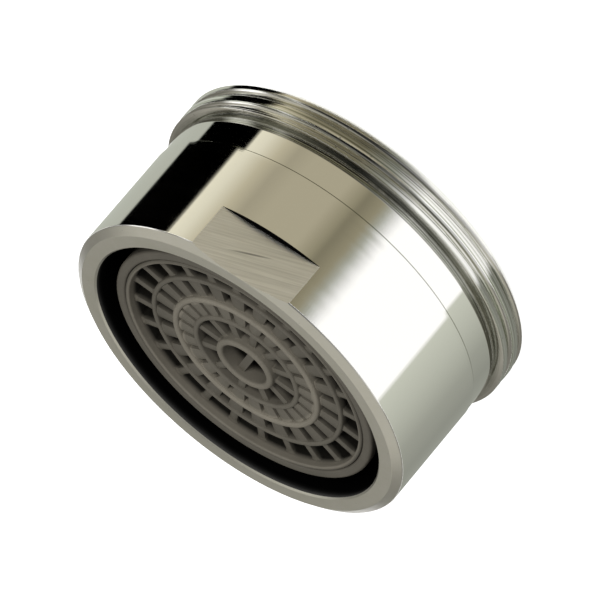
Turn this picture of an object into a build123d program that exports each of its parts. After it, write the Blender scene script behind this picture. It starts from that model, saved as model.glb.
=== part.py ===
"""Screw-in tap aerator: a turned housing round a moulded insert, standing on its inlet end."""

import os

from build123d import *

# Driving dimensions in millimetres and degrees.
# Z = 0 is the free face of the sealing washer, and +Z points out of the outlet.

# Housing, turned from bar
overall_length = 12.2
thread_major_radius = 12.0
thread_length = 2.35
thread_pitch = 1.0
thread_crest = 0.5
thread_depth = 0.43
thread_end_chamfer = 0.4
thread_runout = 0.2
relief_depth = 0.7
relief_width = 0.5
barrel_step = 0.45
barrel_wall = 1.52
rim_bevel_width = 0.53
rim_bevel_depth = 0.34
flat_depth = 0.55
flat_length = 3.3
seat_ledge = 0.52

# Sealing washer
washer_thickness = 1.6
washer_proud = 0.3
washer_clearance = 0.15
washer_grip = 0.2

# Insert cup
air_gap = 0.93
cup_wall = 0.65
cup_flange_thickness = 0.5
cup_flange_clearance = 0.15
cup_shoulder_width = 0.45
cup_shoulder_thickness = 0.4
outlet_recess = 0.66
window_count = 8
window_width = 3.0
window_height = 1.4
window_gap = 0.3

# Outlet grille
grille_height = 2.44
grille_rim_wall = 0.27
tube_radius = 2.0
tube_wall = 0.45
tube_recess = 0.06
tube_web = 0.3
tube_web_recess = 0.5
tube_web_angle = 72.0
ring_3_place = 0.257
ring_3_wall = 0.35
ring_3_recess = 0.24
ring_2_place = 0.491
ring_2_wall = 0.4
ring_2_recess = 0.2
ring_1_place = 0.754
ring_1_wall = 0.32
ring_1_recess = 0.32
rib_count = 24
inner_rib_count = 12
rib_width = 0.4
rib_recess = 0.5

# Regulator grids
grid_height = 1.2
grid_rim_wall = 0.8
grid_spine = 1.0
grid_slot_width = 1.5
grid_slot_pitch = 2.7
grid_slot_rows = 5

# Jet plate
jet_flange_thickness = 0.5
jet_skirt_wall = 1.1
jet_skirt_length = 1.9
jet_plate_thickness = 0.8
jet_hole_radius = 0.5
jet_hole_sides = 6
jet_inner_ring_radius = 3.1
jet_inner_count = 4
jet_ring_step = 2.3
jet_outer_count = 8

# Strainer
strainer_rim_width = 0.5
strainer_thickness = 0.6
sieve_hole = 1.2
sieve_pitch = 2.0
sieve_margin = 1.0
sieve_ring_growth = 6

# Clearance of every piece that is pushed into another
push_fit = 0.03

# Levels along the axis, from the inlet to the mixing chamber
thread_end = washer_proud
washer_top = washer_thickness
jet_seat = washer_top + jet_flange_thickness
cup_ledge = jet_seat + cup_flange_thickness
jet_plate_bottom = washer_top + jet_skirt_length
jet_plate_top = jet_plate_bottom + jet_plate_thickness
window_bottom = jet_plate_top + window_gap
relief_bottom = thread_end + thread_length
shoulder = relief_bottom + relief_width

# Levels along the axis, from the outlet back to the mixing chamber
outlet = overall_length
cup_edge = outlet - outlet_recess
grille_seat = cup_edge - grille_height
cup_shoulder_bottom = grille_seat - cup_shoulder_thickness
lower_grid_bottom = cup_shoulder_bottom - grid_height
upper_grid_bottom = lower_grid_bottom - grid_height

# Radii, from the thread inwards
relief_radius = thread_major_radius - relief_depth
barrel_radius = thread_major_radius - barrel_step
rim_face_radius = barrel_radius - rim_bevel_width
bore_radius = barrel_radius - barrel_wall
seat_radius = bore_radius + seat_ledge
cup_flange_radius = seat_radius - cup_flange_clearance
cup_radius = bore_radius - air_gap
cup_bore = cup_radius - cup_wall
cup_shoulder_radius = cup_bore - cup_shoulder_width
insert_radius = cup_bore - push_fit
jet_bore = insert_radius - jet_skirt_wall
strainer_radius = jet_bore + strainer_rim_width
washer_inner_radius = strainer_radius - washer_grip
washer_outer_radius = seat_radius - washer_clearance

os.makedirs("parts", exist_ok=True)

# Housing: one turned profile, then two spanner flats milled at the outlet end.
# The fine thread stands as plain rings at its pitch, as many as fit between end chamfer and runout.
thread_start = thread_end + thread_end_chamfer
thread_stop = relief_bottom - thread_runout
groove_count = int((thread_stop - thread_start + thread_crest) // thread_pitch)
groove_half_width = (thread_pitch - thread_crest) / 2
thread_grooves = []
for groove in range(groove_count):
    groove_middle = (thread_start + thread_stop) / 2 + (groove - (groove_count - 1) / 2) * thread_pitch
    thread_grooves += [
        (thread_major_radius, groove_middle - groove_half_width),
        (thread_major_radius - thread_depth, groove_middle),
        (thread_major_radius, groove_middle + groove_half_width),
    ]
flat_distance = barrel_radius - flat_depth
with BuildPart() as housing:
    with BuildSketch(Plane.XZ):
        with BuildLine():
            Polyline(
                (seat_radius, cup_ledge),
                (seat_radius, thread_end),
                (thread_major_radius - thread_end_chamfer, thread_end),
                (thread_major_radius, thread_start),
                *thread_grooves,
                (thread_major_radius, thread_stop),
                (relief_radius, relief_bottom),
                (relief_radius, shoulder),
                (barrel_radius, shoulder),
                (barrel_radius, outlet - rim_bevel_depth),
                (rim_face_radius, outlet),
                (bore_radius, outlet),
                (bore_radius, cup_ledge),
                close=True,
            )
        make_face()
    revolve(axis=Axis.Z)
    with BuildSketch(Plane.XY.offset(outlet - flat_length)):
        with Locations((0, flat_distance + flat_depth), (0, -flat_distance - flat_depth)):
            Rectangle(2 * barrel_radius, 2 * flat_depth)
    extrude(amount=flat_length, mode=Mode.SUBTRACT)
housing.part.label = "housing"
export_step(housing.part, "parts/housing.step")

# Sealing washer: a flat rubber ring that presses on the insert's flange
with BuildPart() as sealing_washer:
    with BuildSketch():
        Circle(washer_outer_radius)
        Circle(washer_inner_radius, mode=Mode.SUBTRACT)
    extrude(amount=washer_thickness)
sealing_washer.part.label = "sealing_washer"
export_step(sealing_washer.part, "parts/sealing_washer.step")

# Insert cup: hangs by its flange on the housing's ledge, with air windows past the jet plate
window_cut_depth = 3 * cup_wall
with BuildPart() as insert_cup:
    with BuildSketch(Plane.XZ):
        with BuildLine():
            Polyline(
                (cup_bore, jet_seat),
                (cup_flange_radius, jet_seat),
                (cup_flange_radius, cup_ledge),
                (cup_radius, cup_ledge),
                (cup_radius, cup_edge),
                (cup_bore, cup_edge),
                (cup_bore, grille_seat),
                (cup_shoulder_radius, grille_seat),
                (cup_shoulder_radius, cup_shoulder_bottom),
                (cup_bore, cup_shoulder_bottom),
                close=True,
            )
        make_face()
    revolve(axis=Axis.Z)
    with BuildSketch(Plane.XY.offset(window_bottom)):
        with PolarLocations(cup_radius, window_count):
            Rectangle(window_cut_depth, window_width)
    extrude(amount=window_height, mode=Mode.SUBTRACT)
insert_cup.part.label = "insert_cup"
export_step(insert_cup.part, "parts/insert_cup.step")

# Outlet grille: a rim, three rings and a centre tube, tied by lower radial ribs
grille_rim_inner = insert_radius - grille_rim_wall
tube_bore = tube_radius - tube_wall
ring_span = grille_rim_inner - tube_radius
ring_3_middle = tube_radius + ring_3_place * ring_span
ring_2_middle = tube_radius + ring_2_place * ring_span
ring_1_middle = tube_radius + ring_1_place * ring_span
grille_rings = [
    (tube_bore, tube_radius, cup_edge - tube_recess),
    (ring_3_middle - ring_3_wall / 2, ring_3_middle + ring_3_wall / 2, cup_edge - ring_3_recess),
    (ring_2_middle - ring_2_wall / 2, ring_2_middle + ring_2_wall / 2, cup_edge - ring_2_recess),
    (ring_1_middle - ring_1_wall / 2, ring_1_middle + ring_1_wall / 2, cup_edge - ring_1_recess),
    (grille_rim_inner, insert_radius, cup_edge),
]
rib_height = grille_height - rib_recess
rib_outer_end = insert_radius - grille_rim_wall / 2
rib_pitch = 360 / rib_count
inner_rib_end = tube_radius - tube_wall / 2
rib_middle = (ring_3_middle + rib_outer_end) / 2
inner_rib_middle = (inner_rib_end + ring_3_middle) / 2
with BuildPart() as outlet_grille:
    with BuildSketch(Plane.XZ):
        for inner, outer, top in grille_rings:
            with BuildLine():
                Polyline(
                    (inner, grille_seat),
                    (outer, grille_seat),
                    (outer, top),
                    (inner, top),
                    close=True,
                )
            make_face()
    revolve(axis=Axis.Z)
    with BuildSketch(Plane.XY.offset(grille_seat)):
        with PolarLocations(rib_middle, rib_count, start_angle=rib_pitch / 2):
            Rectangle(rib_outer_end - ring_3_middle, rib_width)
        with PolarLocations(inner_rib_middle, inner_rib_count, start_angle=1.5 * rib_pitch):
            Rectangle(ring_3_middle - inner_rib_end, rib_width)
    extrude(amount=rib_height)
    with BuildSketch(Plane.XY.offset(grille_seat)):
        Rectangle(2 * inner_rib_end, tube_web, rotation=tube_web_angle)
    extrude(amount=grille_height - tube_web_recess)
outlet_grille.part.label = "outlet_grille"
export_step(outlet_grille.part, "parts/outlet_grille.step")

# Regulator grids: two slotted discs under the cup's shoulder, with their slots crossing
grid_slot_reach = insert_radius - grid_rim_wall
with BuildSketch() as slotted_disc:
    Circle(insert_radius)
    for row in range(grid_slot_rows):
        row_place = (row - (grid_slot_rows - 1) / 2) * grid_slot_pitch
        row_edge = abs(row_place) + grid_slot_width / 2
        slot_end = (grid_slot_reach**2 - row_edge**2) ** 0.5
        slot_length = slot_end - grid_spine / 2
        slot_middle = (slot_end + grid_spine / 2) / 2
        with Locations((slot_middle, row_place), (-slot_middle, row_place)):
            Rectangle(slot_length, grid_slot_width, mode=Mode.SUBTRACT)
for grid_name, grid_bottom, grid_turn in (
    ("upper_grid", upper_grid_bottom, 0),
    ("lower_grid", lower_grid_bottom, 90),
):
    with BuildPart() as regulator_grid:
        with BuildSketch(Plane.XY.offset(grid_bottom)):
            add(slotted_disc.sketch, rotation=grid_turn)
        extrude(amount=grid_height)
    regulator_grid.part.label = grid_name
    export_step(regulator_grid.part, f"parts/{grid_name}.step")

# Jet plate: a pot with rings of small holes, whose flange lies under the cup's flange
strainer_seat = washer_top + strainer_thickness
with BuildPart() as jet_plate:
    with BuildSketch(Plane.XZ):
        with BuildLine():
            Polyline(
                (0, jet_plate_bottom),
                (jet_bore, jet_plate_bottom),
                (jet_bore, strainer_seat),
                (strainer_radius + push_fit, strainer_seat),
                (strainer_radius + push_fit, washer_top),
                (cup_flange_radius, washer_top),
                (cup_flange_radius, jet_seat),
                (insert_radius, jet_seat),
                (insert_radius, jet_plate_top),
                (0, jet_plate_top),
                close=True,
            )
        make_face()
    revolve(axis=Axis.Z)
    with BuildSketch(Plane.XY.offset(jet_plate_bottom)):
        with PolarLocations(jet_inner_ring_radius, jet_inner_count):
            RegularPolygon(jet_hole_radius, jet_hole_sides)
        with PolarLocations(jet_inner_ring_radius + jet_ring_step, jet_outer_count):
            RegularPolygon(jet_hole_radius, jet_hole_sides)
    extrude(amount=jet_plate_thickness, mode=Mode.SUBTRACT)
jet_plate.part.label = "jet_plate"
export_step(jet_plate.part, "parts/jet_plate.step")

# Strainer: a flat sieve let into the mouth of the jet plate, where the washer's edge holds it.
# It has as many rings of holes as fit inside its plain margin.
sieve_ring_count = int((strainer_radius - sieve_margin - sieve_hole / 2) // sieve_pitch)
with BuildPart() as strainer:
    with BuildSketch(Plane.XY.offset(washer_top)):
        Circle(strainer_radius)
        Rectangle(sieve_hole, sieve_hole, mode=Mode.SUBTRACT)
        for ring_number in range(1, sieve_ring_count + 1):
            with PolarLocations(ring_number * sieve_pitch, ring_number * sieve_ring_growth):
                Rectangle(sieve_hole, sieve_hole, mode=Mode.SUBTRACT)
    extrude(amount=strainer_thickness)
strainer.part.label = "strainer"
export_step(strainer.part, "parts/strainer.step")
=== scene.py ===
"""Tap aerator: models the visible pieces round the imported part, finishes them and sets the studio."""

import math

import bpy
from bpy.props import FloatProperty, FloatVectorProperty, IntProperty, PointerProperty
from mathutils import Matrix, Vector


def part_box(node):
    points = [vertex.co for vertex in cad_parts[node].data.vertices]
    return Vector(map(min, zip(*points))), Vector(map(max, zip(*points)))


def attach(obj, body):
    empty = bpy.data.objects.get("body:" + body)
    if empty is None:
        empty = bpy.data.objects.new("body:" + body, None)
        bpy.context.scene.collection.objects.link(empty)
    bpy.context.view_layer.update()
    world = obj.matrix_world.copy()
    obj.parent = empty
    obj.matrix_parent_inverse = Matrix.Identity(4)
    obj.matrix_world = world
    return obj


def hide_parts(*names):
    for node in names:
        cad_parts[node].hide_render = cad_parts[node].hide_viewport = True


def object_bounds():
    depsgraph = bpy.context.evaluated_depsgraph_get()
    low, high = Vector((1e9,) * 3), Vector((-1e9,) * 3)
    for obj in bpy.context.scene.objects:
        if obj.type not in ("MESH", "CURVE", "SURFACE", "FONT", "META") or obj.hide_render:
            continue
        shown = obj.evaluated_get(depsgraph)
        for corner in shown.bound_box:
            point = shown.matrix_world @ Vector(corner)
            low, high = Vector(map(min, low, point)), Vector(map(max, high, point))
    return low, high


bl_info = {
    "name": "Tap aerator",
    "version": (1, 0, 0),
    "blender": (4, 5, 0),
    "location": "View3D > Sidebar > Aerator",
    "description": "Builds a screw-in tap aerator round its packed solids, with a studio to show it",
    "category": "Add Mesh",
}

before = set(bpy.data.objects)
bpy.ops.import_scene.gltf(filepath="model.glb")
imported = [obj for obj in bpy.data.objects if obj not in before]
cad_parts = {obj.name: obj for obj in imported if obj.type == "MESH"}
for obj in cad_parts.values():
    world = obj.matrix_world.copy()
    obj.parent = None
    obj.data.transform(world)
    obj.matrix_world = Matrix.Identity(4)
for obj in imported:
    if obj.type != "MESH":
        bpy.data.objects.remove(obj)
CAD_LOW, CAD_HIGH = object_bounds()

# One millimetre in scene units, the fineness of round work, and how near a face counts as in its place
MM = 0.001
FULL_TURN = 2 * math.pi
LATHE_STEPS = 288
MERGE_DISTANCE = 0.0005 * MM
METAL_EDGE_ANGLE = math.radians(28)
MOULDED_EDGE_ANGLE = math.radians(40)
TURNED_LINE_HALF = 0.035 * MM
NEAR = 0.01 * MM

# The housing's finishes, in the order of its material slots
BARREL, RIM, THREAD, FLAT, SHADED_BORE = range(5)

# Cards that the polished metal mirrors, with the widest angle from the camera's meridian, foot and reach
CARDS = {
    "black": (0.0, 0.0, 0.0),
    "white": (1.0, 1.0, 1.0),
    "cream": (0.94, 0.90, 0.72),
    "beige": (0.48, 0.44, 0.32),
    "olive": (0.24, 0.22, 0.15),
    "sage": (0.54, 0.56, 0.49),
}
HALF_VIEW = 90.0
CARD_FOOT = 11.55 * MM
CARD_REACH = 75 * MM

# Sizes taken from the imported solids
HOUSING_LOW, HOUSING_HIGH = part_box("housing")
THREAD_RADIUS = min(HOUSING_HIGH.x, HOUSING_HIGH.y, -HOUSING_LOW.x, -HOUSING_LOW.y)
CUP_LOW, CUP_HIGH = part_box("insert_cup")
GRILLE_LOW, GRILLE_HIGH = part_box("outlet_grille")
GRID_LOW, GRID_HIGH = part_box("lower_grid")
WASHER_LOW, WASHER_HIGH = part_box("sealing_washer")


def length(name, description, default):
    """A length that a user may change, in metres."""
    return FloatProperty(name=name, description=description, default=default, unit="LENGTH", precision=5)


def angle(name, description, degrees):
    """An angle that a user may change, given in degrees."""
    return FloatProperty(name=name, description=description, default=math.radians(degrees), subtype="ANGLE")


def colour(name, description, default):
    """A colour that a user may change, in linear light."""
    return FloatVectorProperty(
        name=name, description=description, default=default, size=3, min=0.0, max=1.0, subtype="COLOR"
    )


def count(name, description, default):
    """A number of like things that a user may change."""
    return IntProperty(name=name, description=description, default=default)


def power(name, description, default):
    """A lamp's power that a user may change, in watts."""
    return FloatProperty(name=name, description=description, default=default, unit="POWER")


class HousingSizes(bpy.types.PropertyGroup):
    """The turned metal sleeve."""

    thread_radius: length("Thread radius", "Radius over the thread's crests", THREAD_RADIUS)
    thread_pitch: length("Thread pitch", "Rise of the thread in one turn", 1.0 * MM)
    thread_depth: length("Thread depth", "Depth of the thread's groove", 0.30 * MM)
    thread_angle: angle("Thread angle", "Angle between the flanks of the thread's groove", 60.0)
    thread_turns: count("Thread turns", "Turns of the groove, past both ends", 4)
    thread_lead_in: length("Thread lead-in", "How far under the inlet end the groove starts", 0.924 * MM)
    thread_runout: length("Thread runout", "Length of the slope into the relief groove", 0.08 * MM)
    thread_length: length("Thread length", "From the inlet end to the relief groove", 2.35 * MM)
    end_chamfer: length("End chamfer", "Chamfer at the inlet end of the thread", 0.4 * MM)
    relief_radius: length("Relief radius", "Radius in the groove behind the thread", 11.3 * MM)
    relief_width: length("Relief width", "Width of the groove behind the thread", 0.5 * MM)
    collar_radius: length("Collar radius", "Radius of the barrel next to the groove", 11.5 * MM)
    collar_length: length("Collar length", "From the shoulder to the fine turned line", 1.7 * MM)
    barrel_radius: length("Barrel radius", "Radius of the polished barrel", 11.55 * MM)
    rim_face_radius: length("Rim face radius", "Outer radius of the flat rim face", 11.02 * MM)
    bevel_depth: length("Bevel depth", "Axial depth of the bevel round the rim", 0.34 * MM)
    bore_radius: length("Bore radius", "Radius of the bore round the insert", 10.03 * MM)
    bore_chamfer: length("Bore chamfer", "Edge break where the bore meets the rim", 0.1 * MM)
    seat_radius: length("Seat radius", "Radius of the pocket for washer and flange", 10.55 * MM)
    flat_distance: length("Flat distance", "Distance of a spanner flat from the axis", 11.04 * MM)
    flat_length: length("Flat length", "Length of a spanner flat from the rim", 3.3 * MM)


class InsertSizes(bpy.types.PropertyGroup):
    """The moulded insert: its cup and its ring grille."""

    cup_radius: length("Cup radius", "Outer radius of the cup", 9.1 * MM)
    cup_bore: length("Cup bore", "Inner radius of the cup", 8.45 * MM)
    shoulder_radius: length("Shoulder radius", "Inner radius of the shoulder under the grille", 8.0 * MM)
    flange_thickness: length("Flange thickness", "Thickness of the flange that hangs on the ledge", 0.5 * MM)
    lip_rounding: length("Lip rounding", "Rounding of the cup's outer lip", 0.2 * MM)
    window_count: count("Windows", "Number of air windows in the cup", 8)
    window_width: length("Window width", "Width of an air window", 3.0 * MM)
    window_bottom: length("Window bottom", "Height of an air window's lower edge", 4.6 * MM)
    window_height: length("Window height", "Height of an air window", 1.4 * MM)
    rib_count: count("Ribs", "Ribs in each outer row of cells", 24)
    inner_rib_count: count("Inner ribs", "Ribs in the row round the tube", 12)
    tube_radius: length("Tube radius", "Outer radius of the tube in the middle", 2.0 * MM)
    tube_wall: length("Tube wall", "Wall of the tube in the middle", 0.45 * MM)
    web_angle: angle("Web angle", "Direction of the web across the tube", 72.0)


class StageSettings(bpy.types.PropertyGroup):
    """Camera and studio."""

    camera_distance: length("Camera distance", "From the camera to the part", 500 * MM)
    camera_facing: angle("Camera facing", "Turn of the camera round the axis, from the front flat", 18.5)
    camera_elevation: angle("Camera elevation", "Height of the camera over the outlet plane", 24.505)
    camera_roll: angle("Camera roll", "Roll of the camera about its own axis", 220.182)
    pixels_per_mm: FloatProperty(
        name="Picture scale", description="Pixels of the picture for one millimetre at the rim", default=17.42
    )
    front_power: power("Front light", "Power of the light beside the camera", 0.9)
    top_power: power("Top light", "Power of the light over the outlet", 0.12)
    fill_power: power("Fill light", "Power of the fill light", 0.08)


class FinishColours(bpy.types.PropertyGroup):
    """Colours of the finishes."""

    chrome: colour("Chrome", "Plating on the housing", (0.80, 0.79, 0.76))
    # The insert's lightest tone is on rings brightened partly by wear and partly by painted light; the deep
    # colour is painted shade for the cells.
    plastic: colour("Insert plastic", "Moulded insert where it is worn bright", (0.205, 0.186, 0.148))
    plastic_cell_shade: colour("Insert plastic, deep", "Moulded insert down in its cells", (0.010, 0.009, 0.007))
    rubber: colour("Washer rubber", "Sealing washer", (0.025, 0.025, 0.025))


# Modelling helpers


def deselect_all():
    """Leaves no object selected, so that the next operator acts on its own piece only."""
    bpy.ops.object.select_all(action="DESELECT")


def added(name, operator, **settings):
    """A new object from one of Blender's own add operators, named."""
    deselect_all()
    operator(**settings)
    piece = bpy.context.object
    piece.name = name
    return piece


def make_active(piece):
    """Selects one object alone."""
    deselect_all()
    piece.select_set(True)
    bpy.context.view_layer.objects.active = piece


def edit_whole(piece):
    """Opens one piece for editing with all of it selected."""
    make_active(piece)
    bpy.ops.object.mode_set(mode="EDIT")
    bpy.ops.mesh.select_all(action="SELECT")


def rounded_outline(corners):
    """Points of a closed (radius, height) outline. A corner's third number is the radius that rounds it.

    A held point stands beside each end of a rounding, so that the long faces next to it shade evenly.
    """
    arc_steps = 8
    hold = 0.02 * MM
    most_of_edge = 0.45
    places = [Vector(corner[:2]) for corner in corners]
    points = []
    for number, corner in enumerate(corners):
        here = places[number]
        rounding = corner[2] if len(corner) > 2 else 0.0
        if not rounding:
            points.append(here)
            continue
        last_edge = places[number - 1] - here
        next_edge = places[(number + 1) % len(places)] - here
        to_last = last_edge.normalized()
        to_next = next_edge.normalized()
        half_angle = to_last.angle(to_next) / 2
        trim = rounding / math.tan(half_angle)
        centre = here + (to_last + to_next).normalized() * (rounding / math.sin(half_angle))
        start = (here + to_last * trim - centre).normalized()
        end = (here + to_next * trim - centre).normalized()
        if trim + hold < most_of_edge * last_edge.length:
            points.append(here + to_last * (trim + hold))
        for step in range(arc_steps + 1):
            points.append(centre + start.slerp(end, step / arc_steps) * rounding)
        if trim + hold < most_of_edge * next_edge.length:
            points.append(here + to_next * (trim + hold))
    return points


def section_wire(name, outline):
    """A closed wire in the XZ plane, reshaped from a circle primitive."""
    piece = added(name, bpy.ops.mesh.primitive_circle_add, vertices=len(outline), radius=outline[0][0])
    for vertex, point in zip(piece.data.vertices, outline):
        vertex.co = (point[0], 0.0, point[1])
    return piece


def close_and_orient(piece):
    """Merges doubled points and turns all faces outwards."""
    edit_whole(piece)
    bpy.ops.mesh.remove_doubles(threshold=MERGE_DISTANCE)
    bpy.ops.mesh.normals_make_consistent(inside=False)
    bpy.ops.object.mode_set(mode="OBJECT")


def turned(name, corners, steps=LATHE_STEPS):
    """A solid of revolution about Z, spun from an outline."""
    piece = section_wire(name, rounded_outline(corners))
    edit_whole(piece)
    bpy.ops.mesh.spin(steps=steps, angle=FULL_TURN, center=(0, 0, 0), axis=(0, 0, 1))
    bpy.ops.object.mode_set(mode="OBJECT")
    close_and_orient(piece)
    return piece


def block(name, low, high, turn=0.0):
    """A box between two corners, turned about Z, with its place in its mesh."""
    piece = added(name, bpy.ops.mesh.primitive_cube_add, size=1.0)
    middle = (Vector(low) + Vector(high)) / 2
    reach = Vector(high) - Vector(low)
    place = Matrix.Rotation(turn, 4, "Z") @ Matrix.Translation(middle) @ Matrix.Diagonal((*reach, 1.0))
    piece.data.transform(place)
    return piece


def unit_grid(name, columns, rows):
    """A flat grid, one unit wide and long, about the origin."""
    return added(
        name, bpy.ops.mesh.primitive_grid_add, x_subdivisions=columns, y_subdivisions=rows, size=1.0
    )


def apply_modifier(piece, modifier):
    """Applies one modifier of a piece."""
    make_active(piece)
    bpy.ops.object.modifier_apply(modifier=modifier.name)


def combine(piece, tool, operation):
    """Cuts or joins a piece with a tool solid, which is used up."""
    modifier = piece.modifiers.new(operation.lower(), "BOOLEAN")
    modifier.operation = operation
    modifier.solver = "EXACT"
    modifier.object = tool
    apply_modifier(piece, modifier)
    bpy.data.objects.remove(tool, do_unlink=True)
    if not piece.data.polygons:
        raise RuntimeError(f"{piece.name} was lost in its {operation.lower()}")


def drop_slivers(piece):
    """Merges the points and collapses the slivers that joining solids leaves."""
    edit_whole(piece)
    bpy.ops.mesh.remove_doubles(threshold=MERGE_DISTANCE)
    bpy.ops.mesh.dissolve_degenerate(threshold=MERGE_DISTANCE)
    bpy.ops.object.mode_set(mode="OBJECT")


def join_pieces(pieces):
    """Joins several objects into the first one."""
    make_active(pieces[0])
    for piece in pieces[1:]:
        piece.select_set(True)
    bpy.ops.object.join()
    return pieces[0]


def smooth(piece, limit=METAL_EDGE_ANGLE):
    """Shades smooth, with edges above the limit kept crisp."""
    make_active(piece)
    bpy.ops.object.shade_smooth_by_angle(angle=limit)


def keep_crisp(piece, chosen):
    """Keeps the outline of the chosen faces crisp in a smooth-shaded piece."""
    make_active(piece)
    bpy.ops.object.mode_set(mode="EDIT")
    bpy.ops.mesh.select_mode(type="FACE")
    bpy.ops.mesh.select_all(action="DESELECT")
    bpy.ops.object.mode_set(mode="OBJECT")
    for polygon in piece.data.polygons:
        polygon.select = chosen(polygon)
    bpy.ops.object.mode_set(mode="EDIT")
    bpy.ops.mesh.region_to_loop()
    bpy.ops.mesh.mark_sharp()
    bpy.ops.mesh.select_mode(type="VERT")
    bpy.ops.object.mode_set(mode="OBJECT")


def settle(piece, node):
    """Puts a finished piece on the part's one body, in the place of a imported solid."""
    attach(piece, "root")
    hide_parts(node)


# Node helpers


def add_node(tree, kind, **settings):
    """A new node with some of its settings."""
    node = tree.nodes.new(kind)
    for name, value in settings.items():
        setattr(node, name, value)
    return node


def feed(node, **values):
    """Links a node's inputs to sockets, or sets them to values, by name with underscores for spaces."""
    for name, value in values.items():
        socket = node.inputs[name.replace("_", " ")]
        if isinstance(value, bpy.types.NodeSocket):
            node.id_data.links.new(value, socket)
        else:
            socket.default_value = value


def maths(tree, operation, first, second=None):
    """A Math node on one or two sockets or numbers; returns its result."""
    node = add_node(tree, "ShaderNodeMath", operation=operation)
    for number, value in enumerate((first, second)):
        if value is None:
            continue
        if isinstance(value, (int, float)):
            node.inputs[number].default_value = value
        else:
            tree.links.new(value, node.inputs[number])
    return node.outputs[0]


def scaled(tree, value, factor, offset):
    """A value times a factor plus an offset."""
    return maths(tree, "ADD", maths(tree, "MULTIPLY", value, factor), offset)


def centred(tree, value, factor):
    """A value from 0 to 1 moved to lie about zero, then times a factor."""
    return maths(tree, "MULTIPLY", maths(tree, "SUBTRACT", value, 0.5), factor)


def ramp(tree, factor, stops):
    """A Color Ramp through (position, grey or colour) stops; returns its colour."""
    node = add_node(tree, "ShaderNodeValToRGB")
    elements = node.color_ramp.elements
    while len(elements) < len(stops):
        elements.new(0.5)
    for element, (position, value) in zip(elements, stops):
        element.position = position
        shade = (value, value, value) if isinstance(value, (int, float)) else tuple(value)
        element.color = (*shade, 1.0)
    feed(node, Fac=factor)
    return node.outputs["Color"]


def mixed(tree, first, second, factor=1.0, blend_type="MIX"):
    """Two colours, each a socket or a plain colour, put together; returns the result."""
    node = add_node(tree, "ShaderNodeMix", data_type="RGBA", blend_type=blend_type)
    sides = [side if isinstance(side, bpy.types.NodeSocket) else (*side, 1.0) for side in (first, second)]
    feed(node, A=sides[0], B=sides[1], Factor=factor)
    return node.outputs["Result"]


def object_places(tree):
    """The piece's own coordinates, as a socket."""
    return add_node(tree, "ShaderNodeTexCoord").outputs["Object"]


def split_axes(tree, places):
    """The three coordinates of a place, as sockets by name."""
    split = add_node(tree, "ShaderNodeSeparateXYZ")
    feed(split, Vector=places)
    return split.outputs


def new_group(name, inputs, outputs):
    """A shader node group with float inputs and named outputs; returns the group and its two ends."""
    group = bpy.data.node_groups.new(name, "ShaderNodeTree")
    for socket_name, default in inputs:
        socket = group.interface.new_socket(socket_name, in_out="INPUT", socket_type="NodeSocketFloat")
        socket.default_value = default
    for socket_name in outputs:
        group.interface.new_socket(socket_name, in_out="OUTPUT", socket_type="NodeSocketFloat")
    return group, group.nodes.new("NodeGroupInput"), group.nodes.new("NodeGroupOutput")


def lathe_lines_group():
    """Fine lines left by turning: they run round the axis and change along one coordinate."""
    group, given, result = new_group(
        "lathe_lines", [("Place", 0.0), ("Fine", 9000.0), ("Broad", 900.0)], ["Height", "Streak"]
    )
    for output, scale, detail in (("Height", "Fine", 3.0), ("Streak", "Broad", 4.0)):
        noise = add_node(group, "ShaderNodeTexNoise", noise_dimensions="1D")
        feed(noise, W=given.outputs["Place"], Scale=given.outputs[scale], Detail=detail, Roughness=0.6)
        feed(result, **{output: noise.outputs["Fac"]})
    return group


def nicks_group():
    """Scattered pits and handling marks as a mask and a height."""
    group, given, result = new_group("nicks", [("Scale", 700.0), ("Amount", 0.06)], ["Mask", "Height"])
    places = object_places(group)
    cells = add_node(group, "ShaderNodeTexVoronoi")
    feed(cells, Vector=places, Scale=given.outputs["Scale"])
    patches = add_node(group, "ShaderNodeTexNoise")
    feed(patches, Vector=places, Scale=260.0, Detail=2.0)
    reach = maths(group, "MULTIPLY", given.outputs["Amount"], patches.outputs["Fac"])
    inside = maths(group, "SUBTRACT", reach, cells.outputs["Distance"])
    clamp = add_node(group, "ShaderNodeClamp")
    feed(clamp, Value=maths(group, "MULTIPLY", inside, 30.0))
    mask = clamp.outputs[0]
    feed(result, Mask=mask, Height=maths(group, "SUBTRACT", 1.0, mask))
    return group


def moulded_skin_group():
    """Mottle and fine grain of a moulded surface."""
    group, given, result = new_group(
        "moulded_skin", [("Mottle", 300.0), ("Grain", 6000.0)], ["Mottle", "Grain"]
    )
    places = object_places(group)
    for name, detail in (("Mottle", 5.0), ("Grain", 3.0)):
        noise = add_node(group, "ShaderNodeTexNoise")
        feed(noise, Vector=places, Scale=given.outputs[name], Detail=detail, Roughness=0.65)
        feed(result, **{name: noise.outputs["Fac"]})
    return group


def place_group(tree, name, build, **values):
    """Places a shared group, built on first use, in a material with its own values."""
    node = add_node(tree, "ShaderNodeGroup", node_tree=bpy.data.node_groups.get(name) or build())
    feed(node, **values)
    return node


def new_material(name):
    """A material with a Principled shader; returns material, node tree and shader."""
    material = bpy.data.materials.new(name)
    material.use_nodes = True
    return material, material.node_tree, material.node_tree.nodes["Principled BSDF"]


def roughen(tree, shader, value, factor, offset):
    """Ties the shader's roughness to a value times a factor plus an offset."""
    feed(shader, Roughness=scaled(tree, value, factor, offset))


def bump(tree, shader, height, distance, below=None):
    """A Bump node into the shader's normal; returns its normal so that another can follow."""
    node = add_node(tree, "ShaderNodeBump")
    feed(node, Strength=1.0, Distance=distance, Height=height)
    if below is not None:
        feed(node, Normal=below)
    feed(shader, Normal=node.outputs["Normal"])
    return node.outputs["Normal"]


# Finishes


def shaded(tone, share):
    """A colour made lighter or darker."""
    return [share * part for part in tone]


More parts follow.
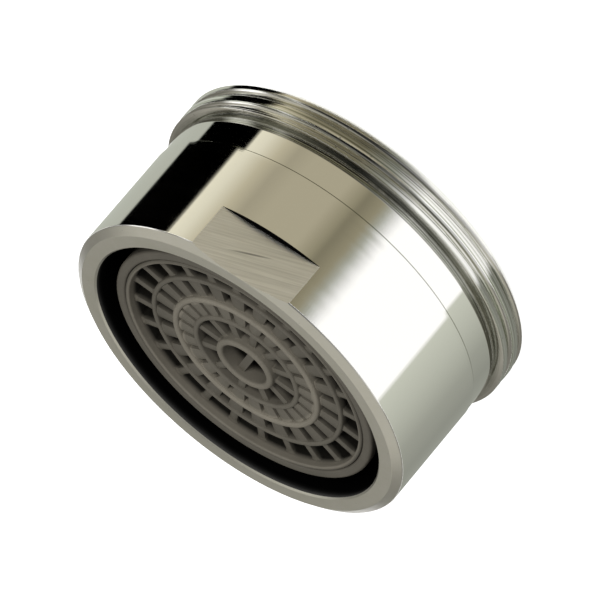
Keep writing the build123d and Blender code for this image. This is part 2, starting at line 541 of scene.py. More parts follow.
def axis_places(tree):
    """Height along the axis and distance from it, as sockets."""
    axes = split_axes(tree, object_places(tree))
    squares = [maths(tree, "MULTIPLY", axes[name], axes[name]) for name in ("X", "Y")]
    return axes["Z"], maths(tree, "SQRT", maths(tree, "ADD", *squares))


def chrome_finish(
    name, colours, along, roughness, line_depth, nick_scale, nick_amount, low, high, shade_and_mottle, scored=0.0
):
    """Plated metal with turning lines along 'height' or 'radius', nicks, random mottle, and painted shade
    that darkens it towards the axis below the radius 'high'.

    Where it is scored, the lines wander a little and are darker by that share.
    """
    spread = 0.03
    wander = 0.12 * MM
    nick_shade = 0.45
    nick_depth = 0.01 * MM
    shade_and_mottle_tint = (0.96, 1.0, 0.84)
    score_tint = (1.0, 0.95, 1.12)
    material, tree, shader = new_material(name)
    height, radius = axis_places(tree)
    nicks = place_group(tree, "nicks", nicks_group, Scale=nick_scale, Amount=nick_amount)
    skin = place_group(tree, "moulded_skin", moulded_skin_group, Mottle=900.0)
    mottle = centred(tree, skin.outputs["Mottle"], 0.6)
    lines = place_group(tree, "lathe_lines", lathe_lines_group)
    place = height if along == "height" else radius
    drift = maths(tree, "MULTIPLY", mottle, scored * wander)
    feed(lines, Place=maths(tree, "ADD", place, drift))
    rise = maths(tree, "DIVIDE", maths(tree, "SUBTRACT", radius, low), high - low)
    # Painted shade: the metal darkens towards the axis below 'high', mixed with random mottle.
    shaded_and_mottled = colours.chrome
    if shade_and_mottle < 1.0:
        shaded_and_mottled = [shade_and_mottle * part * tint for part, tint in zip(colours.chrome, shade_and_mottle_tint)]
    shade_and_mottle_tone = ramp(tree, maths(tree, "ADD", rise, mottle), [(0.0, shaded_and_mottled), (1.0, colours.chrome)])
    score = [1.0 - scored * tint for tint in score_tint]
    scores = ramp(tree, lines.outputs["Height"], [(0.38, score), (0.50, 1.0)])
    metal = mixed(tree, shade_and_mottle_tone, scores, blend_type="MULTIPLY")
    nicked = shaded(colours.chrome, nick_shade)
    feed(shader, Base_Color=mixed(tree, metal, nicked, nicks.outputs["Mask"]), Metallic=1.0)
    roughen(tree, shader, lines.outputs["Streak"], 2 * spread, roughness - spread)
    normal = bump(tree, shader, lines.outputs["Height"], line_depth)
    bump(tree, shader, nicks.outputs["Height"], nick_depth, below=normal)
    return material


def bore_shade_finish(colours, top):
    """The bare bore, painted dark: grey just behind the rim, then painted shade that turns it black further
    in, where the narrow gap lies in shadow.
    """
    reach = 0.8 * MM
    stops = [(0.10, 0.11), (0.28, 0.05), (0.42, 0.016), (0.60, 0.004), (0.80, 0.001)]
    material, tree, shader = new_material("bore_painted_shade")
    height, _ = axis_places(tree)
    skin = place_group(tree, "moulded_skin", moulded_skin_group)
    inwards = maths(tree, "DIVIDE", maths(tree, "SUBTRACT", top, height), reach)
    uneven = centred(tree, skin.outputs["Mottle"], 0.2)
    # Painted shade: dark grey behind the rim, black further in where the gap lies in shadow.
    tones = [(place, shaded(colours.chrome, share)) for place, share in stops]
    painted_shade = ramp(tree, maths(tree, "ADD", inwards, uneven), tones)
    feed(shader, Base_Color=painted_shade, Specular_IOR_Level=0.02)
    roughen(tree, shader, skin.outputs["Mottle"], 0.2, 0.5)
    bump(tree, shader, skin.outputs["Grain"], 0.004 * MM)
    return material


def slanted_noise(tree, slant, stretch, detail):
    """Noise on the spanner flats, drawn out along a slanting line; returns its value."""
    turn = add_node(tree, "ShaderNodeMapping")
    feed(turn, Vector=object_places(tree), Rotation=(0.0, slant, 0.0))
    draw_out = add_node(tree, "ShaderNodeMapping")
    feed(draw_out, Vector=turn.outputs["Vector"], Scale=stretch)
    noise = add_node(tree, "ShaderNodeTexNoise")
    feed(noise, Vector=draw_out.outputs["Vector"], Scale=1.0, Detail=detail, Roughness=0.6)
    return noise.outputs["Fac"]


def milled_finish(colours):
    """The spanner flats: plated metal with slanting cutter marks and a few long scratches."""
    material, tree, shader = new_material("milled_chrome")
    marks = slanted_noise(tree, math.radians(18), (160.0, 1.0, 7000.0), 4.0)
    scratches = slanted_noise(tree, math.radians(24), (130.0, 1.0, 2600.0), 0.0)
    worn = shaded(colours.chrome, 0.80)
    tint = ramp(tree, marks, [(0.35, worn), (0.6, colours.chrome)])
    scratched = ramp(tree, scratches, [(0.74, 1.0), (0.78, 0.35)])
    feed(shader, Base_Color=mixed(tree, tint, scratched, blend_type="MULTIPLY"), Metallic=1.0)
    roughen(tree, shader, marks, 0.2, 0.30)
    bump(tree, shader, marks, 0.005 * MM)
    return material


def by_radius(tree, radius, stops):
    """A ramp from the axis outwards through (millimetres, value) stops; returns its colour."""
    reach = 9.2 * MM
    places = [(place * MM / reach, value) for place, value in stops]
    return ramp(tree, maths(tree, "DIVIDE", radius, reach), places)


def plastic_finish(colours, top):
    """Dull moulded plastic with painted light and shade: lighter on the proud rings, partly from wear and
    partly painted light, and painted shade dark down in the cells.
    """
    fade = 0.36 * MM
    # Tone by radius in millimetres: lighter on the proud rings partly from wear and scale; the raised tones
    # on the tube, the ring walls and the cup's inner wall are painted light.
    tones = [
        (0.0, 0.44), (1.50, 0.50), (1.60, 0.80), (2.00, 0.80), (2.15, 0.50), (3.30, 0.50), (3.45, 0.56),
        (3.76, 0.58), (3.95, 0.58), (4.60, 0.62), (4.75, 1.00), (5.20, 1.00), (5.35, 0.52), (6.35, 0.46),
        (6.48, 0.58), (6.80, 0.50), (7.90, 0.46), (8.05, 0.90), (8.22, 0.80), (8.32, 0.48), (8.60, 0.50),
    ]
    # Painted shade: how deep, by radius in millimetres, the cells are painted as lit before they fade to the
    # painted shade colour.
    lit_depths = [
        (0.0, 0.92), (1.60, 0.92), (2.10, 0.66), (3.30, 0.66), (3.90, 0.64), (5.00, 0.56), (6.50, 0.50),
        (7.90, 0.50), (8.05, 0.38),
    ]
    material, tree, shader = new_material("moulded_insert")
    height, radius = axis_places(tree)
    skin = place_group(tree, "moulded_skin", moulded_skin_group)
    mottle = scaled(tree, skin.outputs["Mottle"], 0.6, 0.7)
    # Painted light and wear on the rings, times random mottle.
    worn = maths(tree, "MULTIPLY", by_radius(tree, radius, tones), mottle)
    tone = mixed(tree, colours.plastic, worn, blend_type="MULTIPLY")
    light = maths(tree, "MULTIPLY", by_radius(tree, radius, lit_depths), MM)
    beyond_light = maths(tree, "SUBTRACT", maths(tree, "SUBTRACT", top, height), light)
    lit = maths(tree, "SUBTRACT", 1.0, maths(tree, "DIVIDE", beyond_light, fade))
    feed(shader, Base_Color=mixed(tree, colours.plastic_cell_shade, tone, lit))
    roughen(tree, shader, skin.outputs["Mottle"], 0.25, 0.42)
    bump(tree, shader, skin.outputs["Grain"], 0.016 * MM)
    return material


def matt_finish(name, tones, roughness, grain, **scales):
    """A matt moulded skin, mottled through (place, colour) tones; roughness is its factor and its offset."""
    material, tree, shader = new_material(name)
    skin = place_group(tree, "moulded_skin", moulded_skin_group, **scales)
    feed(shader, Base_Color=ramp(tree, skin.outputs["Mottle"], tones))
    roughen(tree, shader, skin.outputs["Mottle"], *roughness)
    bump(tree, shader, skin.outputs["Grain"], grain)
    return material


def sieve_finish(colours):
    """Plain moulded plastic of the pieces at the inlet."""
    dull = shaded(colours.plastic, 0.7)
    tones = [(0.3, dull), (0.7, colours.plastic)]
    return matt_finish("moulded_sieve", tones, (0.25, 0.38), 0.006 * MM)


def rubber_finish(colours):
    """Matt washer rubber with a faint bloom."""
    bloom = shaded(colours.rubber, 2.2)
    tones = [(0.35, colours.rubber), (0.75, bloom)]
    return matt_finish("matt_rubber", tones, (0.2, 0.62), 0.01 * MM, Mottle=450.0, Grain=4000.0)


def insert_plastic(context):
    """The insert's one plastic, made on first use."""
    found = bpy.data.materials.get("moulded_insert")
    return found or plastic_finish(context.scene.aerator_colours, CUP_HIGH.z)


# Pieces


def thread_cutter(sizes):
    """The thread's groove as one right-handed winding solid, with a rounded mouth that softens the crests."""
    crest = sizes.thread_radius
    flank = sizes.thread_angle / 2
    root_half = 0.02 * MM
    rounding = 0.30 * MM
    rounding_top = 0.15 * MM
    overcut = 0.04 * MM
    steps = 3
    last_slope = math.radians(75)
    side = [(crest - sizes.thread_depth, root_half)]
    flank_end = root_half + (sizes.thread_depth - rounding_top) * math.tan(flank)
    for step in range(steps + 1):
        slope = flank + (last_slope - flank) * step / steps
        rise = rounding * (math.sin(slope) - math.sin(flank))
        width = rounding * (math.cos(flank) - math.cos(slope))
        side.append((crest - rounding_top + rise, flank_end + width))
    side.append((side[-1][0] + overcut, side[-1][1] + overcut * math.tan(last_slope)))
    start = HOUSING_LOW.z - sizes.thread_lead_in
    outline = [(radius, start + half) for radius, half in side]
    outline += [(radius, start - half) for radius, half in reversed(side)]
    cutter = section_wire("thread_cutter", outline)
    winding = cutter.modifiers.new("winding", "SCREW")
    winding.axis = "Z"
    winding.angle = FULL_TURN
    winding.screw_offset = sizes.thread_pitch
    winding.iterations = sizes.thread_turns
    winding.steps = LATHE_STEPS
    winding.render_steps = LATHE_STEPS
    apply_modifier(cutter, winding)
    edit_whole(cutter)
    bpy.ops.mesh.fill_holes(sides=len(outline))
    bpy.ops.object.mode_set(mode="OBJECT")
    close_and_orient(cutter)
    return cutter


def housing_body(sizes):
    """The sleeve before its thread is cut, with the small edge roundings of plated metal."""
    crest = sizes.thread_radius
    relief = HOUSING_LOW.z + sizes.thread_length
    shoulder = relief + sizes.relief_width
    line = shoulder + sizes.collar_length
    line_depth = 0.04 * MM
    ledge = CUP_LOW.z + 0.5 * MM
    top = HOUSING_HIGH.z
    return turned(
        "housing_shell",
        [
            (sizes.seat_radius, HOUSING_LOW.z, 0.15 * MM),
            (crest - sizes.end_chamfer, HOUSING_LOW.z, 0.05 * MM),
            (crest, HOUSING_LOW.z + sizes.end_chamfer, 0.05 * MM),
            (crest, relief - sizes.thread_runout, 0.05 * MM),
            (sizes.relief_radius, relief, 0.1 * MM),
            (sizes.relief_radius, shoulder, 0.1 * MM),
            (sizes.collar_radius, shoulder, 0.06 * MM),
            (sizes.collar_radius, line - TURNED_LINE_HALF),
            (sizes.collar_radius - line_depth, line),
            (sizes.barrel_radius, line + TURNED_LINE_HALF),
            (sizes.barrel_radius, top - sizes.flat_length - 2 * TURNED_LINE_HALF),
            (sizes.barrel_radius, top - sizes.bevel_depth, 0.12 * MM),
            (sizes.rim_face_radius, top, 0.06 * MM),
            (sizes.bore_radius + sizes.bore_chamfer, top),
            (sizes.bore_radius, top - sizes.bore_chamfer),
            (sizes.bore_radius, ledge),
            (sizes.seat_radius, ledge),
        ],
    )


def housing_zone(sizes, polygon):
    """Which of the housing's finishes a face has. The step above a flat takes the bore's painted shade."""
    square_on = 0.999
    middle = polygon.center
    radius = math.hypot(middle.x, middle.y)
    relief = HOUSING_LOW.z + sizes.thread_length
    if abs(polygon.normal.y) > square_on and abs(abs(middle.y) - sizes.flat_distance) < NEAR:
        return FLAT
    step_above_flat = HOUSING_HIGH.z - sizes.flat_length
    # The step above a flat is painted with the bore's shade.
    if polygon.normal.z > square_on and abs(middle.z - step_above_flat) < NEAR:
        return SHADED_BORE
    if radius < sizes.bore_radius + NEAR:
        return SHADED_BORE
    if middle.z > HOUSING_HIGH.z - sizes.bevel_depth:
        return RIM
    if middle.z < relief + 0.9 * sizes.relief_width:
        return THREAD
    line = relief + sizes.relief_width + sizes.collar_length
    if abs(middle.z - line) < TURNED_LINE_HALF and radius < sizes.barrel_radius - NEAR:
        return THREAD
    return BARREL


class AERATOR_OT_housing(bpy.types.Operator):
    """Models the plated sleeve with its thread, groove, bevel and spanner flats"""

    bl_idname = "aerator.housing"
    bl_label = "Housing"

    def execute(self, context):
        sizes = context.scene.aerator_housing
        colours = context.scene.aerator_colours
        shell = housing_body(sizes)
        combine(shell, thread_cutter(sizes), "DIFFERENCE")
        reach = 2 * sizes.barrel_radius
        for side in (-1, 1):
            near = side * sizes.flat_distance
            far = side * reach
            cutter = block(
                "flat_cutter",
                (-reach, min(near, far), HOUSING_HIGH.z - sizes.flat_length),
                (reach, max(near, far), HOUSING_HIGH.z + sizes.flat_length),
            )
            combine(shell, cutter, "DIFFERENCE")
        close_and_orient(shell)
        smooth(shell)
        keep_crisp(shell, lambda polygon: housing_zone(sizes, polygon) == FLAT)
        shell.data.materials.clear()
        barrel = sizes.barrel_radius
        crest = sizes.thread_radius
        finishes = [
            chrome_finish(
                "barrel_chrome", colours, along="height", roughness=0.06, line_depth=0.0006 * MM,
                nick_scale=700.0, nick_amount=0.03, low=0.0, high=0.9 * barrel, shade_and_mottle=1.0,
            ),
            # The rim face: random mottle, with faint painted shade towards the bore.
            chrome_finish(
                "rim_chrome", colours, along="radius", roughness=0.30, line_depth=0.002 * MM,
                nick_scale=2600.0, nick_amount=0.12, low=0.0, high=barrel, shade_and_mottle=0.8,
            ),
            # The thread: painted shade darkens it towards its roots, and most in the relief groove.
            chrome_finish(
                "thread_chrome", colours, along="height", roughness=0.12, line_depth=0.009 * MM,
                nick_scale=1500.0, nick_amount=0.16, low=0.92 * crest, high=0.985 * crest, shade_and_mottle=0.30,
                scored=0.45,
            ),
            milled_finish(colours),
            bore_shade_finish(colours, HOUSING_HIGH.z),
        ]
        for finish in finishes:
            shell.data.materials.append(finish)
        for polygon in shell.data.polygons:
            polygon.material_index = housing_zone(sizes, polygon)
        settle(shell, "housing")
        return {"FINISHED"}


class AERATOR_OT_insert_cup(bpy.types.Operator):
    """Models the insert's cup with its rounded lip, shoulder and air windows"""

    bl_idname = "aerator.insert_cup"
    bl_label = "Insert cup"

    def execute(self, context):
        sizes = context.scene.aerator_insert
        flange_top = CUP_LOW.z + sizes.flange_thickness
        cup = turned(
            "insert_cup_moulding",
            [
                (sizes.cup_bore, CUP_LOW.z),
                (CUP_HIGH.x, CUP_LOW.z),
                (CUP_HIGH.x, flange_top),
                (sizes.cup_radius, flange_top),
                (sizes.cup_radius, CUP_HIGH.z, sizes.lip_rounding),
                (sizes.cup_bore, CUP_HIGH.z, 0.8 * sizes.lip_rounding),
                (sizes.cup_bore, GRILLE_LOW.z),
                (sizes.shoulder_radius, GRILLE_LOW.z),
                (sizes.shoulder_radius, GRID_HIGH.z),
                (sizes.cup_bore, GRID_HIGH.z),
            ],
        )
        for number in range(sizes.window_count):
            cutter = block(
                "window_cutter",
                (sizes.shoulder_radius, -sizes.window_width / 2, sizes.window_bottom),
                (sizes.cup_radius + sizes.flange_thickness, sizes.window_width / 2,
                 sizes.window_bottom + sizes.window_height),
                number * FULL_TURN / sizes.window_count,
            )
            combine(cup, cutter, "DIFFERENCE")
        smooth(cup)
        cup.data.materials.append(insert_plastic(context))
        settle(cup, "insert_cup")
        return {"FINISHED"}


class GrilleRing:
    """One ring of the grille: its inner and outer radius and the height of its rounded top."""

    def __init__(self, middle, wall, recess):
        self.inner = middle - wall / 2
        self.outer = middle + wall / 2
        self.middle = middle
        self.wall = wall
        self.top = GRILLE_HIGH.z - recess


def grille_rings(sizes):
    """Tube, inner, middle and outer ring, and the rim, from the centre outwards."""
    rim_wall = 0.27 * MM
    tube_middle = sizes.tube_radius - sizes.tube_wall / 2
    return [
        GrilleRing(tube_middle, sizes.tube_wall, 0.06 * MM),
        GrilleRing(3.58 * MM, 0.35 * MM, 0.24 * MM),
        GrilleRing(5.02 * MM, 0.40 * MM, 0.20 * MM),
        GrilleRing(6.64 * MM, 0.32 * MM, 0.32 * MM),
        GrilleRing(GRILLE_HIGH.x - rim_wall / 2, rim_wall, 0.0),
    ]


def rib(name, inner, outer, widths, flare, top, bottom):
    """A crowned radial rib along X between two radii, as wide as given at each, flared to meet the rings."""
    stations = 12
    strips = 5
    crown = 0.08 * MM
    piece = unit_grid(name, stations, strips)
    span = outer - inner
    for vertex in piece.data.vertices:
        share = 0.5 + 0.5 * math.sin(math.pi * vertex.co.x)
        place = inner + share * span
        gap = max(0.0, min(place - inner, outer - place))
        spread = 0.0
        if gap < flare:
            spread = flare - math.sqrt(flare**2 - (flare - gap) ** 2)
        half_width = (widths[0] + (widths[1] - widths[0]) * share) / 2 + spread
        side = 2 * vertex.co.y
        vertex.co = (place, side * half_width, top - side**2 * crown)
    edit_whole(piece)
    bpy.ops.mesh.extrude_region_move(TRANSFORM_OT_translate={"value": (0, 0, bottom - top)})
    bpy.ops.object.mode_set(mode="OBJECT")
    for vertex in piece.data.vertices:
        if vertex.select:
            vertex.co.z = bottom
    close_and_orient(piece)
    return piece


def copy_round(piece, times, start):
    """Copies of a piece round the axis, each with its own mesh, joined to one object."""
    copies = []
    for number in range(times):
        twin = piece.copy()
        twin.data = piece.data.copy()
        bpy.context.scene.collection.objects.link(twin)
        twin.data.transform(Matrix.Rotation(start + number * FULL_TURN / times, 4, "Z"))
        copies.append(twin)
    bpy.data.objects.remove(piece, do_unlink=True)
    return join_pieces(copies)


class AERATOR_OT_outlet_grille(bpy.types.Operator):
    """Models the ring grille in the outlet with its rounded rings and flared ribs"""

    bl_idname = "aerator.outlet_grille"
    bl_label = "Outlet grille"

    def execute(self, context):
        sizes = context.scene.aerator_insert
        rings = grille_rings(sizes)
        turned_rings = []
        for ring in rings:
            rounding = 0.42 * ring.wall
            turned_rings.append(
                turned(
                    "grille_moulding",
                    [
                        (ring.inner, GRILLE_LOW.z),
                        (ring.outer, GRILLE_LOW.z),
                        (ring.outer, ring.top, rounding),
                        (ring.inner, ring.top, rounding),
                    ],
                    LATHE_STEPS // 2,
                )
            )
        grille = join_pieces(turned_rings)
        half_pitch = FULL_TURN / sizes.rib_count / 2
        foot = GRILLE_LOW.z + 0.15 * MM
        end_gap = 0.04 * MM
        # Each row's ribs, first angle, width at both ends, flare and depth of the top, from the tube outwards
        rows = [
            (sizes.inner_rib_count, 3 * half_pitch, (0.50 * MM, 0.50 * MM), 0.20 * MM, 0.42 * MM),
            (sizes.rib_count, half_pitch, (0.66 * MM, 0.98 * MM), 0.12 * MM, 0.34 * MM),
            (sizes.rib_count, half_pitch, (0.74 * MM, 1.06 * MM), 0.22 * MM, 0.42 * MM),
            (sizes.rib_count, half_pitch, (0.48 * MM, 0.52 * MM), 0.40 * MM, 0.48 * MM),
        ]
        for inner, outer, (ribs, first, widths, flare, recess) in zip(rings, rings[1:], rows):
            ends = (inner.middle + end_gap, outer.middle - end_gap)
            single = rib("grille_rib", *ends, widths, flare, GRILLE_HIGH.z - recess, foot)
            combine(grille, copy_round(single, ribs, first), "UNION")
        web_reach = rings[0].middle
        web_half = 0.24 * MM
        web_top = GRILLE_HIGH.z - 0.5 * MM
        web = block(
            "tube_web", (-web_reach, -web_half, foot), (web_reach, web_half, web_top), sizes.web_angle
        )
        combine(grille, web, "UNION")
        drop_slivers(grille)
        smooth(grille, MOULDED_EDGE_ANGLE)
        grille.data.materials.append(insert_plastic(context))
        grille.name = "outlet_grille_moulding"
        settle(grille, "outlet_grille")
        return {"FINISHED"}


class AERATOR_OT_washer(bpy.types.Operator):
    """Models the sealing washer with its soft edges"""

    bl_idname = "aerator.washer"
    bl_label = "Sealing washer"

    def execute(self, context):
        inner = 7.62 * MM
        rounding = 0.22 * MM
        washer = turned(
            "washer_ring",
            [
                (inner, WASHER_LOW.z, rounding),
                (WASHER_HIGH.x, WASHER_LOW.z, rounding),
                (WASHER_HIGH.x, WASHER_HIGH.z, rounding),
                (inner, WASHER_HIGH.z, rounding),
            ],
        )
        smooth(washer, MOULDED_EDGE_ANGLE)
        washer.data.materials.append(rubber_finish(context.scene.aerator_colours))
        settle(washer, "sealing_washer")
        return {"FINISHED"}


class AERATOR_OT_inner_pieces(bpy.types.Operator):
    """Finishes the strainer, jet plate and regulator grids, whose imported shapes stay"""

    bl_idname = "aerator.inner_pieces"
    bl_label = "Inner pieces"

    def execute(self, context):
        sieve = sieve_finish(context.scene.aerator_colours)
        insert = insert_plastic(context)
        finishes = {"strainer": sieve, "jet_plate": sieve, "upper_grid": insert, "lower_grid": insert}
        for name, finish in finishes.items():
            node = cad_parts[name]
            node.data.materials.clear()
            node.data.materials.append(finish)
        return {"FINISHED"}


# Studio


def bare_material(name):
    """A material with an output alone; returns material, node tree and the output's surface."""
    material = bpy.data.materials.new(name)
    material.use_nodes = True
    tree = material.node_tree
    tree.nodes.clear()
    return material, tree, add_node(tree, "ShaderNodeOutputMaterial").inputs["Surface"]


def seen_rays(tree):
    """One for the rays by which a background is seen, straight or in metal and glass."""
    path = add_node(tree, "ShaderNodeLightPath")
    seen = maths(tree, "MAXIMUM", path.outputs["Is Camera Ray"], path.outputs["Is Glossy Ray"])
    return maths(tree, "MAXIMUM", seen, path.outputs["Is Transmission Ray"])


def floor_paper():
    """Pale paper that is seen as white, takes shadows and is clear from below."""
    pale = (0.9, 0.9, 0.9, 1.0)
    glow_strength = 0.92
    material, tree, surface = bare_material("floor_paper")
    glow = add_node(tree, "ShaderNodeEmission")
    paper = add_node(tree, "ShaderNodeBsdfDiffuse")
    both = add_node(tree, "ShaderNodeAddShader")
    for number, shader in enumerate((glow, paper)):
        feed(shader, Color=pale)
        tree.links.new(shader.outputs[0], both.inputs[number])
    feed(glow, Strength=maths(tree, "MULTIPLY", seen_rays(tree), glow_strength))
    facing = add_node(tree, "ShaderNodeNewGeometry")
    clear = add_node(tree, "ShaderNodeBsdfTransparent")
    sided = add_node(tree, "ShaderNodeMixShader")
    feed(sided, Fac=facing.outputs["Backfacing"])
    tree.links.new(both.outputs[0], sided.inputs[1])
    tree.links.new(clear.outputs[0], sided.inputs[2])
    tree.links.new(sided.outputs[0], surface)
    return material


def glow_on(card, name):
    """Gives a card a glow that reflections alone show; returns its node tree and the glow."""
    material, tree, surface = bare_material(name)
    glow = add_node(tree, "ShaderNodeEmission")
    tree.links.new(glow.outputs[0], surface)
    card.data.materials.append(material)
    card.visible_camera = False
    card.visible_diffuse = False
    card.visible_shadow = False
    card.visible_transmission = False
    card.visible_volume_scatter = False
    return tree, glow


def flat_card(name, columns, rows, place):
    """A glowing card bent from a grid by a function of (across, outwards), each from 0 to 1.

    Returns its node tree, the glow, and the places across and outwards as sockets.
    """
    card = unit_grid(name, columns, rows)
    for vertex in card.data.vertices:
        vertex.co = place(vertex.co.x + 0.5, vertex.co.y + 0.5)
    tree, glow = glow_on(card, name + "_paper")
    axes = split_axes(tree, add_node(tree, "ShaderNodeTexCoord").outputs["UV"])
    return tree, glow, axes["X"], axes["Y"]


def card_bands(tree, across, bands):
    """Strips of coloured card side by side, each stop with its angle, its card and how brightly it is lit."""
    stops = []
    for bend, card, strength in bands:
        stops.append(((bend / HALF_VIEW + 1) / 2, shaded(CARDS[card], strength)))
    return ramp(tree, across, stops)


def add_back_card(facing):
    """A fan of card behind the part, seen in the polished metal alone, for views from behind."""
    level = 0.01 * MM
    bands = [
        (-90.0, "sage", 0.6), (-62.0, "sage", 0.9), (-60.0, "white", 1.1), (-24.0, "white", 1.1),
        (-18.0, "beige", 1.0), (22.0, "beige", 0.8), (36.0, "olive", 1.0), (38.0, "black", 1.0),
        (54.0, "black", 1.0), (56.0, "sage", 1.0), (90.0, "sage", 0.7),
    ]

    def place(across, outwards):
        turn = facing + math.pi + math.radians((2 * across - 1) * HALF_VIEW)
        radius = CARD_FOOT + outwards * CARD_REACH
        return radius * math.cos(turn), radius * math.sin(turn), level

    tree, glow, across, _ = flat_card("back_card", 90, 1, place)
    feed(glow, Color=card_bands(tree, across, bands))


def add_ribbon(facing):
    """A ribbon of card round the barrel's foot, seen in the polished metal alone: it makes the light bands.

    Across the ribbon runs the angle from the camera's meridian at which the barrel mirrors it. Outwards
    run the distances that the thread, the collar and the barrel mirror.
    """
    level = 0.02 * MM
    squeeze = 0.955
    step = 0.01 * MM
    thread_reach = 5.9 * MM
    collar_reach = 10.6 * MM
    thread_share = 0.3
    frayed_middle = 0.53
    frayed_half = 0.07
    rows = [
        (0.0, squeeze),
        (thread_reach, squeeze),
        (thread_reach + step, squeeze),
        (collar_reach, squeeze),
        (collar_reach + step, 1.0),
        (CARD_REACH, 1.0),
    ]
    barrel_bands = [
        (-90.0, "sage", 0.96), (-67.6, "sage", 0.95), (-67.2, "black", 1.0), (-45.9, "black", 1.0),
        (-45.3, "cream", 1.0), (-41.0, "cream", 0.9), (-35.0, "beige", 1.22), (-30.0, "beige", 0.88),
        (-24.0, "beige", 1.0), (-11.0, "beige", 1.0), (-6.0, "olive", 1.38), (-4.0, "olive", 1.0),
        (1.0, "olive", 1.4), (3.5, "sage", 0.8), (7.0, "white", 1.0), (9.0, "white", 1.3),
        (37.7, "white", 1.3), (38.3, "sage", 1.26), (48.0, "sage", 1.04), (60.0, "sage", 0.72),
        (72.0, "sage", 0.58), (90.0, "sage", 0.63),
    ]
    thread_bands = [
        (-90.0, "sage", 1.0), (-66.0, "sage", 1.1), (-64.5, "black", 1.0), (-46.0, "black", 1.0),
        (-43.0, "beige", 1.3), (-32.0, "olive", 1.0), (-14.0, "olive", 0.75), (-3.0, "sage", 0.55),
        (4.0, "white", 0.68), (9.0, "white", 1.2), (36.0, "white", 1.1), (40.0, "sage", 0.45),
        (65.0, "sage", 0.5), (90.0, "sage", 0.4),
    ]

    def place(across, outwards):
        distance, factor = rows[round(outwards * (len(rows) - 1))]
        bend = math.radians((2 * across - 1) * HALF_VIEW * factor)
        normal = facing - bend
        away = facing - 2 * bend
        return (
            CARD_FOOT * math.cos(normal) + distance * math.cos(away),
            CARD_FOOT * math.sin(normal) + distance * math.sin(away),
            level,
        )

    tree, glow, across, outwards = flat_card("reflection_ribbon", 180, len(rows) - 1, place)
    frayed = add_node(tree, "ShaderNodeTexNoise", noise_dimensions="1D")
    feed(frayed, W=outwards, Scale=600.0, Detail=4.0, Roughness=0.7)
    off_middle = maths(tree, "ABSOLUTE", maths(tree, "SUBTRACT", across, frayed_middle))
    soft = maths(tree, "MAXIMUM", maths(tree, "SUBTRACT", frayed_half, off_middle), 0.0)
    shifted = maths(tree, "ADD", across, centred(tree, frayed.outputs["Fac"], soft))
    thread_light = card_bands(tree, shifted, thread_bands)
    barrel_light = card_bands(tree, shifted, barrel_bands)
    for_barrel = maths(tree, "GREATER_THAN", outwards, thread_share)
    feed(glow, Color=mixed(tree, thread_light, barrel_light, for_barrel))


def add_lamp(name, place, side, watts):
    """A square soft light that faces the middle of the part; the metal mirrors the cards and not the lamp."""
    lamp = added(name, bpy.ops.object.light_add, type="AREA", location=place)
    lamp.data.size = side
    lamp.data.energy = watts
    lamp.visible_glossy = False
    middle = (CAD_LOW + CAD_HIGH) / 2
    lamp.rotation_euler = (middle - Vector(place)).to_track_quat("-Z", "Y").to_euler()


def add_camera(settings):
    """The camera at the photograph's place, with its roll."""
    image_side = 600
    rim_pixel = Vector((235.83, 374.71))
    sensor = 36.0
    facing = settings.camera_facing
    elevation = settings.camera_elevation
    back = Vector((
        -math.sin(facing) * math.cos(elevation),
        -math.cos(facing) * math.cos(elevation),
        math.sin(elevation),
    ))
    level_right = Vector((math.cos(facing), -math.sin(facing), 0.0))
    level_up = back.cross(level_right)
    right = level_right * math.cos(settings.camera_roll) + level_up * math.sin(settings.camera_roll)
    up = back.cross(right)
    offset = (rim_pixel - Vector((image_side / 2, image_side / 2))) / settings.pixels_per_mm * MM
    rim_centre = Vector((0.0, 0.0, HOUSING_HIGH.z))
    target = rim_centre - right * offset.x + up * offset.y
    camera = added("Camera", bpy.ops.object.camera_add)
    turn = Matrix((right, up, back)).transposed().to_4x4()
    camera.matrix_world = Matrix.Translation(target + back * settings.camera_distance) @ turn
    camera.data.sensor_width = sensor
    camera.data.lens = settings.pixels_per_mm * settings.camera_distance / MM * sensor / image_side
    camera.data.clip_start = 1 * MM
    camera.data.clip_end = 10.0
    bpy.context.scene.camera = camera


def set_world():
    """White behind everything, and an even soft light from all round."""
    world = bpy.data.worlds.new("studio_air")
    bpy.context.scene.world = world
    world.use_nodes = True
    tree = world.node_tree
    background = tree.nodes["Background"]
    light = 0.4
    strength = scaled(tree, seen_rays(tree), 1.0 - light, light)
    feed(background, Color=(1.0, 1.0, 1.0, 1.0), Strength=strength)


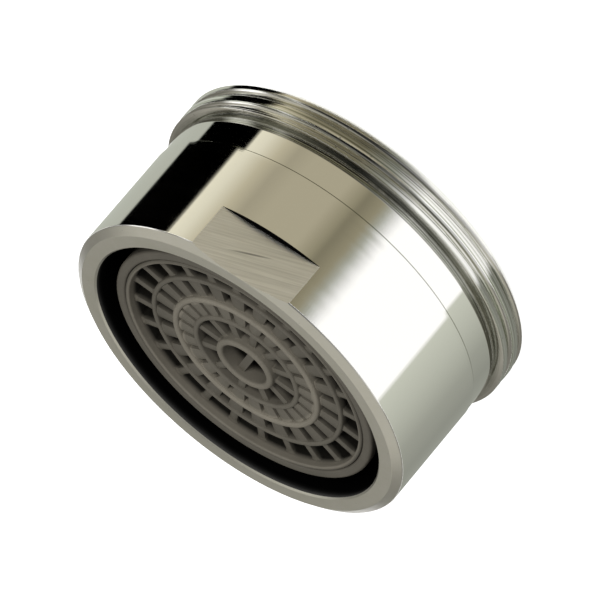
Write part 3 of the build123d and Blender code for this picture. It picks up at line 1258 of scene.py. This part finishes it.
def add_tent(facing):
    """A tent seen in reflections alone: grey behind the part, dark by the camera, with side windows."""
    tent_radius = 300 * MM
    cloth = (1.0, 0.97, 0.84)
    lifts = [(0.0, 0.19), (0.20, 0.22), (0.42, 0.21), (0.60, 0.56), (0.80, 0.50), (1.0, 0.54)]
    shades = [(0.0, cloth), (0.55, cloth), (0.8, 0.12), (1.0, 0.05)]
    # Each window's panes across, upwards and towards the camera
    left_window = (
        [(0.80, 0.0), (0.83, 1.0)],
        [(0.02, 0.0), (0.06, 1.0), (0.42, 1.0), (0.50, 0.0)],
        [
            (0.28, 0.0), (0.32, 1.4), (0.45, 1.4), (0.48, 0.0),
            (0.60, 0.0), (0.62, 0.8), (0.66, 0.8), (0.68, 0.0),
        ],
    )
    right_window = (
        [(0.34, 1.0), (0.42, 0.5), (0.56, 0.35), (0.64, 0.0)],
        [(0.02, 0.0), (0.05, 1.0), (0.55, 1.0), (0.70, 0.0)],
        [(0.57, 0.0), (0.63, 0.60)],
    )
    add_sphere = bpy.ops.mesh.primitive_uv_sphere_add
    tent = added("reflection_tent", add_sphere, segments=48, ring_count=24, radius=tent_radius)
    tree, glow = glow_on(tent, "tent_cloth")
    turn = add_node(tree, "ShaderNodeMapping")
    feed(turn, Vector=object_places(tree), Rotation=(0.0, 0.0, -facing), Scale=[1 / tent_radius] * 3)
    axes = split_axes(tree, turn.outputs["Vector"])
    upwards = axes["Z"]
    towards = scaled(tree, axes["X"], 0.5, 0.5)
    across = scaled(tree, axes["Y"], 0.5, 0.5)
    wall = mixed(tree, ramp(tree, upwards, lifts), ramp(tree, towards, shades), blend_type="MULTIPLY")
    windows = []
    for panes in (left_window, right_window):
        light = maths(tree, "MULTIPLY", ramp(tree, across, panes[0]), ramp(tree, upwards, panes[1]))
        windows.append(maths(tree, "MULTIPLY", light, ramp(tree, towards, panes[2])))
    daylight = maths(tree, "ADD", *windows)
    feed(glow, Color=mixed(tree, wall, daylight, blend_type="ADD"))


class AERATOR_OT_stage(bpy.types.Operator):
    """Sets the pale floor, soft lights, reflection cards and camera"""

    bl_idname = "aerator.stage"
    bl_label = "Studio"

    def execute(self, context):
        settings = context.scene.aerator_stage
        floor_side = 1200 * MM
        floor_gap = 0.01 * MM
        level = (0.0, 0.0, CAD_LOW.z - floor_gap)
        floor = added("floor", bpy.ops.mesh.primitive_plane_add, size=floor_side, location=level)
        floor.data.materials.append(floor_paper())
        facing = -math.pi / 2 - settings.camera_facing
        add_back_card(facing)
        add_ribbon(facing)
        add_tent(facing)
        # Each lamp's name, place and side in metres, and its power
        lamps = [
            ("front_light", (0.01, -0.35, 0.23), 0.15, settings.front_power),
            ("top_light", (0.10, -0.05, 0.31), 0.2, settings.top_power),
            ("fill_light", (-0.25, -0.2, 0.2), 0.2, settings.fill_power),
        ]
        for lamp in lamps:
            add_lamp(*lamp)
        set_world()
        add_camera(settings)
        context.scene.view_settings.view_transform = "Standard"
        return {"FINISHED"}


class AERATOR_PT_sidebar(bpy.types.Panel):
    """Lists the pieces in the sidebar of the 3D view"""

    bl_idname = "AERATOR_PT_sidebar"
    bl_label = "Tap aerator"
    bl_space_type = "VIEW_3D"
    bl_region_type = "UI"
    bl_category = "Aerator"

    def draw(self, context):
        for operator in OPERATORS:
            self.layout.operator(operator.bl_idname)


SETTINGS = {
    "aerator_housing": HousingSizes,
    "aerator_insert": InsertSizes,
    "aerator_stage": StageSettings,
    "aerator_colours": FinishColours,
}
OPERATORS = (
    AERATOR_OT_housing,
    AERATOR_OT_insert_cup,
    AERATOR_OT_outlet_grille,
    AERATOR_OT_washer,
    AERATOR_OT_inner_pieces,
    AERATOR_OT_stage,
)


def register():
    """Registers the settings, the operators and the panel."""
    for name, group in SETTINGS.items():
        bpy.utils.register_class(group)
        setattr(bpy.types.Scene, name, PointerProperty(type=group))
    for operator in OPERATORS:
        bpy.utils.register_class(operator)
    bpy.utils.register_class(AERATOR_PT_sidebar)


def unregister():
    """Takes the panel, the operators and the settings out again."""
    bpy.utils.unregister_class(AERATOR_PT_sidebar)
    for operator in reversed(OPERATORS):
        bpy.utils.unregister_class(operator)
    for name, group in reversed(SETTINGS.items()):
        delattr(bpy.types.Scene, name)
        bpy.utils.unregister_class(group)


def main():
    """Builds every piece and the studio."""
    register()
    bpy.ops.aerator.housing()
    bpy.ops.aerator.insert_cup()
    bpy.ops.aerator.outlet_grille()
    bpy.ops.aerator.washer()
    bpy.ops.aerator.inner_pieces()
    bpy.ops.aerator.stage()


if __name__ == "__main__":
    main()
